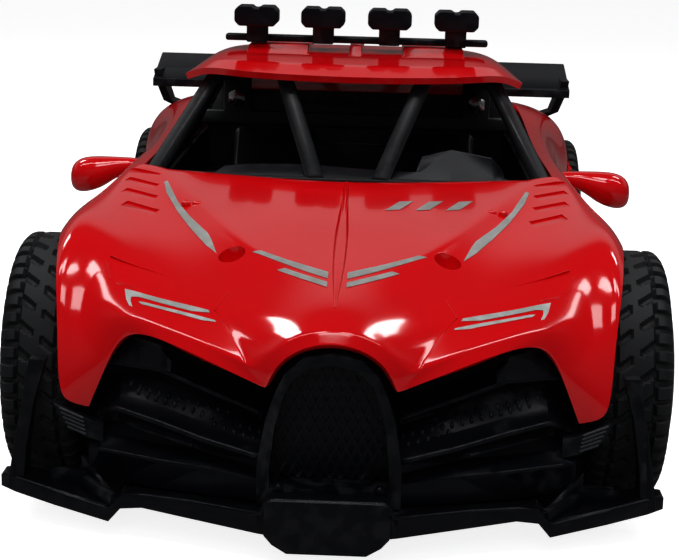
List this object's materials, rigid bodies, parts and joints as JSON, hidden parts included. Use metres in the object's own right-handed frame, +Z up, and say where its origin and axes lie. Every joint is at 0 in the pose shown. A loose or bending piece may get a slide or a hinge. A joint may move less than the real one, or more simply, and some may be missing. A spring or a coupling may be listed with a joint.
{
  "type": "pull back car",
  "caption": "Toy race car with a moulded body on a chassis, open cabin, rear wing, nose splitter and rolling wheels driven by a wind-up spring motor on the rear axle.",
  "frame": {"origin": "on the ground under the middle of the car", "axes": "+X to the side of the steering wheel, +Y towards the tail, +Z up; the nose looks along -Y"},
  "size_m": [0.114, 0.236, 0.0788],
  "materials": {
    "red_gloss": "glossy moulded red plastic",
    "black_satin": "satin black plastic",
    "grey_satin": "satin dark grey plastic",
    "rubber": "soft black rubber",
    "steel": "plated steel",
    "rim_grey": "dark grey painted plastic",
    "gear_white": "natural acetal",
    "spring_steel": "bright spring steel"
  },
  "bodies": {
    "chassis": {"body_shell": "red_gloss", "roof_panel": "red_gloss", "mirror_left": "red_gloss", "mirror_right": "red_gloss", "roof_bar": "black_satin", "rear_wing": "black_satin", "chassis_pan": "black_satin", "cabin_tray": "black_satin", "steering_wheel": "black_satin", "front_bumper": "black_satin", "front_splitter": "black_satin", "rear_bumper": "black_satin", "side_skirt_left": "black_satin", "side_skirt_right": "black_satin", "lamp_pod_1": "black_satin", "lamp_pod_2": "black_satin", "lamp_pod_3": "black_satin", "lamp_pod_4": "black_satin", "cabin_frame": "grey_satin", "motor_case": "grey_satin", "motor_cover": "grey_satin", "dashboard": "grey_satin", "seat_left": "grey_satin", "seat_right": "grey_satin", "idler_shaft": "steel", "drum_shaft": "steel", "bonnet_screw_left": "steel", "bonnet_screw_right": "steel", "deck_screw_left": "steel", "deck_screw_right": "steel", "tray_screw_left": "steel", "tray_screw_right": "steel", "motor_screw_left": "steel", "motor_screw_right": "steel", "cabin_screw_left": "steel", "cabin_screw_right": "steel"},
    "front_wheels": {"front_axle": "steel", "front_rim_left": "rim_grey", "front_rim_right": "rim_grey", "front_tyre_left": "rubber", "front_tyre_right": "rubber"},
    "rear_wheels": {"rear_axle": "steel", "rear_rim_left": "rim_grey", "rear_rim_right": "rim_grey", "rear_tyre_left": "rubber", "rear_tyre_right": "rubber", "axle_pinion": "gear_white"},
    "idler": {"idler_gear": "gear_white"},
    "drum": {"spring_drum": "gear_white", "mainspring": "spring_steel"}
  },
  "joints": [
    {"name": "front_wheels_spin", "type": "hinge", "parent": "chassis", "child": "front_wheels", "pos_m": [0, -0.076, 0.0215], "axis": [1, 0, 0], "continuous": true},
    {"name": "rear_wheels_spin", "type": "hinge", "parent": "chassis", "child": "rear_wheels", "pos_m": [0, 0.064, 0.0215], "axis": [1, 0, 0], "continuous": true},
    {"name": "idler_spin", "type": "hinge", "parent": "chassis", "child": "idler", "pos_m": [0, 0.05195, 0.0215], "axis": [1, 0, 0], "continuous": true},
    {"name": "drum_spin", "type": "hinge", "parent": "chassis", "child": "drum", "pos_m": [0, 0.0385, 0.0215], "axis": [1, 0, 0], "continuous": true}
  ],
  "couplings": [
    {"joint": "idler_spin", "follows": "rear_wheels_spin", "ratio": -0.41667},
    {"joint": "drum_spin", "follows": "rear_wheels_spin", "ratio": 0.14881}
  ]
}
